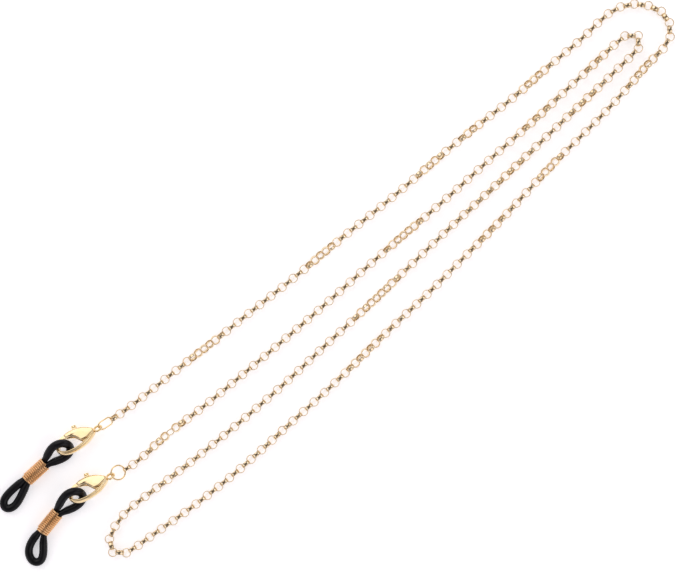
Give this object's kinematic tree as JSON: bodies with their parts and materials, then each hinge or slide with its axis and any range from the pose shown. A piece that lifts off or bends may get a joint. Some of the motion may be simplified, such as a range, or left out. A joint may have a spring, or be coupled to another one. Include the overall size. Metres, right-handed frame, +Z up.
{
  "type": "eyeglasses chain strap",
  "caption": "Gold rolo-link eyeglasses chain with a lobster clasp, jump ring and coil-bound black rubber temple loop at each end, laid folded in four strands.",
  "frame": {"origin": "centre of the laid-out strap's footprint, on the surface it lies on", "axes": "+Z up from that surface; +X to the right along the folded strands, +Y away from the temple loops"},
  "size_m": [0.158, 0.1327, 0.0048],
  "materials": {
    "chain_gold": "polished gold plate",
    "clasp_gold": "polished gold plate",
    "ring_gold": "polished gold plate",
    "coil_wire": "polished",
    "spring_steel": "satin",
    "black_rubber": "satin"
  },
  "bodies": {
    "crown": {"chain_run_09": "chain_gold", "chain_run_10": "chain_gold", "chain_run_11": "chain_gold"},
    "strand_a1": {"chain_run_07": "chain_gold", "chain_run_08": "chain_gold"},
    "strand_a2": {"chain_run_05": "chain_gold", "chain_run_06": "chain_gold"},
    "strand_a3": {"chain_run_03": "chain_gold", "chain_run_04": "chain_gold"},
    "strand_a4": {"chain_run_01": "chain_gold", "chain_run_02": "chain_gold"},
    "strand_b1": {"chain_run_12": "chain_gold", "chain_run_13": "chain_gold"},
    "strand_b2": {"chain_run_14": "chain_gold", "chain_run_15": "chain_gold"},
    "strand_b3": {"chain_run_16": "chain_gold", "chain_run_17": "chain_gold"},
    "strand_b4": {"chain_run_18": "chain_gold", "chain_run_19": "chain_gold"},
    "lower_bend": {"chain_run_20": "chain_gold", "chain_run_21": "chain_gold"},
    "strand_c1": {"chain_run_22": "chain_gold", "chain_run_23": "chain_gold"},
    "strand_c2": {"chain_run_24": "chain_gold", "chain_run_25": "chain_gold"},
    "strand_c3": {"chain_run_26": "chain_gold", "chain_run_27": "chain_gold"},
    "strand_c4": {"chain_run_28": "chain_gold", "chain_run_29": "chain_gold"},
    "inner_bend": {"chain_run_30": "chain_gold", "chain_run_31": "chain_gold", "chain_run_32": "chain_gold"},
    "strand_d1": {"chain_run_33": "chain_gold", "chain_run_34": "chain_gold"},
    "strand_d2": {"chain_run_35": "chain_gold", "chain_run_36": "chain_gold"},
    "strand_d3": {"chain_run_37": "chain_gold", "chain_run_38": "chain_gold"},
    "strand_d4": {"chain_run_39": "chain_gold", "chain_run_40": "chain_gold", "chain_seam_link": "chain_gold"},
    "left_ring": {"left_jump_ring": "ring_gold"},
    "left_clasp": {"left_clasp_body": "clasp_gold", "left_lever_rivet": "clasp_gold", "left_return_spring": "spring_steel"},
    "left_lever": {"left_gate_lever": "clasp_gold"},
    "left_rubber": {"left_rubber_loop": "black_rubber"},
    "left_coil": {"left_wire_coil": "coil_wire"},
    "right_ring": {"right_jump_ring": "ring_gold"},
    "right_clasp": {"right_clasp_body": "clasp_gold", "right_lever_rivet": "clasp_gold", "right_return_spring": "spring_steel"},
    "right_lever": {"right_gate_lever": "clasp_gold"},
    "right_rubber": {"right_rubber_loop": "black_rubber"},
    "right_coil": {"right_wire_coil": "coil_wire"}
  },
  "joints": [
    {"name": "strand_a1_flex", "type": "hinge", "parent": "crown", "child": "strand_a1", "pos_m": [0.05287, 0.05339, 0.0011], "axis": [-0.6308, 0.776, 0], "range_deg": [-10, 10]},
    {"name": "strand_a2_flex", "type": "hinge", "parent": "strand_a1", "child": "strand_a2", "pos_m": [0.0273, 0.03225, 0.0011], "axis": [-0.6391, 0.7678, 0.0453], "range_deg": [-10, 10]},
    {"name": "strand_a3_flex", "type": "hinge", "parent": "strand_a2", "child": "strand_a3", "pos_m": [0.00075, 0.01019, 0.0011], "axis": [-0.5963, 0.7322, 0.3292], "range_deg": [-25, 25]},
    {"name": "strand_a4_flex", "type": "hinge", "parent": "strand_a3", "child": "strand_a4", "pos_m": [-0.02505, -0.01068, 0.0011], "axis": [0.623, -0.7818, -0.0259], "range_deg": [-15, 15]},
    {"name": "strand_b1_flex", "type": "hinge", "parent": "crown", "child": "strand_b1", "pos_m": [0.06668, 0.04419, 0.0011], "axis": [-0.7496, 0.6612, 0.031], "range_deg": [-10, 10]},
    {"name": "strand_b2_flex", "type": "hinge", "parent": "strand_b1", "child": "strand_b2", "pos_m": [0.04269, 0.01937, 0.0011], "axis": [0.7306, -0.6807, -0.0541], "range_deg": [-25, 25]},
    {"name": "strand_b3_flex", "type": "hinge", "parent": "strand_b2", "child": "strand_b3", "pos_m": [0.0194, -0.00426, 0.0011], "axis": [0.6818, -0.7282, -0.0699], "range_deg": [-20, 20]},
    {"name": "strand_b4_flex", "type": "hinge", "parent": "strand_b3", "child": "strand_b4", "pos_m": [-0.00605, -0.02853, 0.0011], "axis": [0.6704, -0.7415, 0.0279], "range_deg": [-10, 10]},
    {"name": "lower_bend_flex", "type": "hinge", "parent": "strand_b4", "child": "lower_bend", "pos_m": [-0.03212, -0.05114, 0.0011], "axis": [-0.6013, 0.799, 0], "range_deg": [-10, 10]},
    {"name": "strand_c1_flex", "type": "hinge", "parent": "lower_bend", "child": "strand_c1", "pos_m": [-0.05055, -0.05495, 0.0011], "axis": [0.7344, -0.6787, 0.0038], "range_deg": [-20, 20]},
    {"name": "strand_c2_flex", "type": "hinge", "parent": "strand_c1", "child": "strand_c2", "pos_m": [-0.02314, -0.03297, 0.0011], "axis": [0.6409, -0.7677, 0], "range_deg": [-20, 20]},
    {"name": "strand_c3_flex", "type": "hinge", "parent": "strand_c2", "child": "strand_c3", "pos_m": [0.0025, -0.00986, 0.0011], "axis": [-0.6685, 0.7336, -0.1224], "range_deg": [-20, 20]},
    {"name": "strand_c4_flex", "type": "hinge", "parent": "strand_c3", "child": "strand_c4", "pos_m": [0.02657, 0.01299, 0.0011], "axis": [-0.679, 0.7258, -0.1101], "range_deg": [-20, 20]},
    {"name": "inner_bend_flex", "type": "hinge", "parent": "strand_c4", "child": "inner_bend", "pos_m": [0.05213, 0.03714, 0.0011], "axis": [0.6883, -0.7251, 0.0184], "range_deg": [-10, 10]},
    {"name": "strand_d1_flex", "type": "hinge", "parent": "inner_bend", "child": "strand_d1", "pos_m": [0.05347, 0.04493, 0.0011], "axis": [-0.6806, 0.7273, 0.0886], "range_deg": [-25, 25]},
    {"name": "strand_d2_flex", "type": "hinge", "parent": "strand_d1", "child": "strand_d2", "pos_m": [0.02889, 0.02263, 0.0011], "axis": [0.6685, -0.7437, 0], "range_deg": [-10, 10]},
    {"name": "strand_d3_flex", "type": "hinge", "parent": "strand_d2", "child": "strand_d3", "pos_m": [0.00238, -0.00047, 0.0011], "axis": [-0.6678, 0.7443, 0], "range_deg": [-10, 10]},
    {"name": "strand_d4_flex", "type": "hinge", "parent": "strand_d3", "child": "strand_d4", "pos_m": [-0.02281, -0.02208, 0.0011], "axis": [0.6408, -0.7677, 0], "range_deg": [-20, 20]},
    {"name": "left_ring_swing", "type": "hinge", "parent": "strand_a4", "child": "left_ring", "pos_m": [-0.05292, -0.0321, 0.0011], "axis": [0.1439, -0.2151, 0.9659], "range_deg": [-15, 15]},
    {"name": "left_clasp_lift", "type": "hinge", "parent": "left_ring", "child": "left_clasp", "pos_m": [-0.05552, -0.03379, 0.00203], "axis": [-0.4767, 0.8474, 0.2339], "range_deg": [-15, 30]},
    {"name": "left_gate_open", "type": "hinge", "parent": "left_clasp", "child": "left_lever", "pos_m": [-0.05981, -0.03523, 0.00174], "axis": [0.1922, -0.394, -0.8988], "range_deg": [0, 18], "stiffness_Nm_per_rad": 0.004, "springref_deg": -8.59, "deforming": ["left_return_spring"]},
    {"name": "left_loop_swing", "type": "hinge", "parent": "left_clasp", "child": "left_rubber", "pos_m": [-0.06257, -0.03778, 0.00227], "axis": [0, 0, 1], "range_deg": [-12, 12]},
    {"name": "left_coil_slide", "type": "slide", "parent": "left_rubber", "child": "left_coil", "axis": [-0.7396, -0.673, 0], "range_m": [-0.0015, 0.0015], "deforming": ["left_rubber_loop"]},
    {"name": "right_ring_swing", "type": "hinge", "parent": "strand_d4", "child": "right_ring", "pos_m": [-0.04992, -0.04391, 0.0011], "axis": [-0.0179, 0.03, 0.9994], "range_deg": [-15, 15]},
    {"name": "right_clasp_lift", "type": "hinge", "parent": "right_ring", "child": "right_clasp", "pos_m": [-0.05254, -0.04501, 0.00203], "axis": [-0.3842, 0.9135, 0.1339], "range_deg": [-15, 30]},
    {"name": "right_gate_open", "type": "hinge", "parent": "right_clasp", "child": "right_lever", "pos_m": [-0.05686, -0.04641, 0.00174], "axis": [0.1922, -0.394, -0.8988], "range_deg": [0, 18], "stiffness_Nm_per_rad": 0.004, "springref_deg": -8.59, "deforming": ["right_return_spring"]},
    {"name": "right_loop_swing", "type": "hinge", "parent": "right_clasp", "child": "right_rubber", "pos_m": [-0.05962, -0.04896, 0.00227], "axis": [0, 0, 1], "range_deg": [-12, 12]},
    {"name": "right_coil_slide", "type": "slide", "parent": "right_rubber", "child": "right_coil", "axis": [-0.632, -0.7749, 0], "range_m": [-0.0015, 0.0015], "deforming": ["right_rubber_loop"]}
  ]
}
